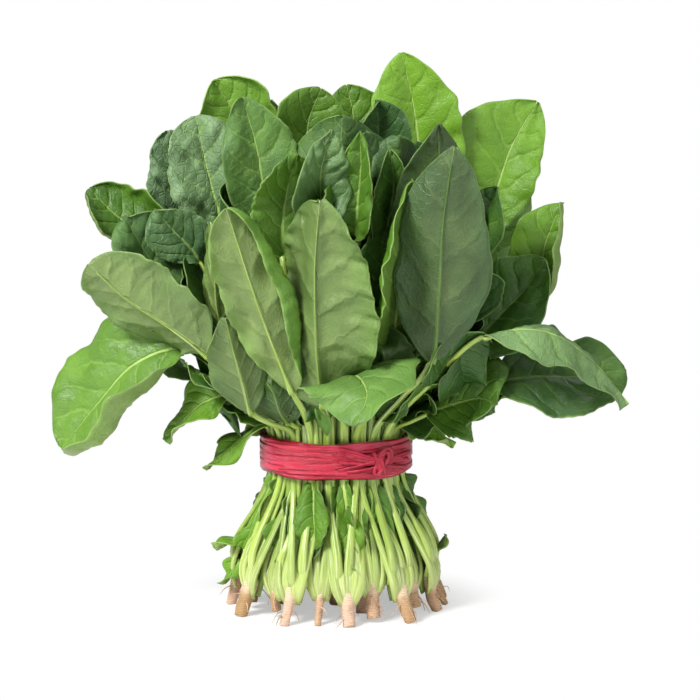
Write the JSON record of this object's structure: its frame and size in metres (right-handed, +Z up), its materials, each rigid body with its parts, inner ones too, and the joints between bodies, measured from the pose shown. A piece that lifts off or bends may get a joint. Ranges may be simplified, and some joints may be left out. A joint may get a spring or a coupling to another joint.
{
  "type": "spinach bunch",
  "caption": "Bunch of whole spinach plants standing on their root ends, held at the waist by a plastic tie, with the leaves fanned out above it.",
  "frame": {"origin": "the flat cut end of the middle root, on the ground plane under the middle of the tie", "axes": "+Z up from the root ends to the leaf tips, +X to the right and -Y to the front, where the knot is"},
  "size_m": [0.3032, 0.2059, 0.2924],
  "materials": {
    "leaf": "satin waxy leaf, paler and greyer underneath",
    "root": "matt fibrous root skin, pink near the crown",
    "tie": "glossy stretched plastic ribbon"
  },
  "bodies": {
    "root": {"tie_band": "tie", "tie_knot": "tie", "root_01": "root", "root_02": "root", "root_03": "root", "root_04": "root", "root_05": "root", "root_06": "root", "root_07": "root", "root_08": "root", "root_09": "root", "root_10": "root", "root_11": "root", "root_12": "root", "root_13": "root", "root_14": "root", "root_15": "root", "leaf_front_folded_over": "leaf", "leaf_front_left": "leaf", "leaf_front_centre": "leaf", "leaf_front_right": "leaf", "leaf_front_right_second": "leaf", "leaf_right_arching": "leaf", "leaf_right_low_dark": "leaf", "leaf_right_low_small": "leaf", "leaf_right_bottom": "leaf", "leaf_left_drooping": "leaf", "leaf_left_middle": "leaf", "leaf_left_far": "leaf", "leaf_left_savoyed": "leaf", "leaf_left_savoyed_behind": "leaf", "leaf_left_small_round": "leaf", "leaf_upper_left": "leaf", "leaf_top_left": "leaf", "leaf_upper_left_centre": "leaf", "leaf_top_centre_left": "leaf", "leaf_top_centre": "leaf", "leaf_centre_savoyed": "leaf", "leaf_centre_bright": "leaf", "leaf_centre_dark": "leaf", "leaf_centre_cupped": "leaf", "leaf_centre_right_folded": "leaf", "leaf_top_light": "leaf", "leaf_top_right_light": "leaf", "leaf_right_dark": "leaf", "leaf_right_far_folded": "leaf", "leaf_left_narrow": "leaf", "leaf_left_low_front": "leaf", "leaf_left_low_dark": "leaf", "leaf_left_bottom_lobed": "leaf", "leaf_centre_low_dark": "leaf", "leaf_left_between": "leaf", "leaf_right_between": "leaf", "leaf_back_far_left": "leaf", "leaf_back_left": "leaf", "leaf_back_centre_left": "leaf", "leaf_back_centre": "leaf", "leaf_back_centre_right": "leaf", "leaf_back_right": "leaf", "leaf_back_low": "leaf"}
  },
  "joints": []
}
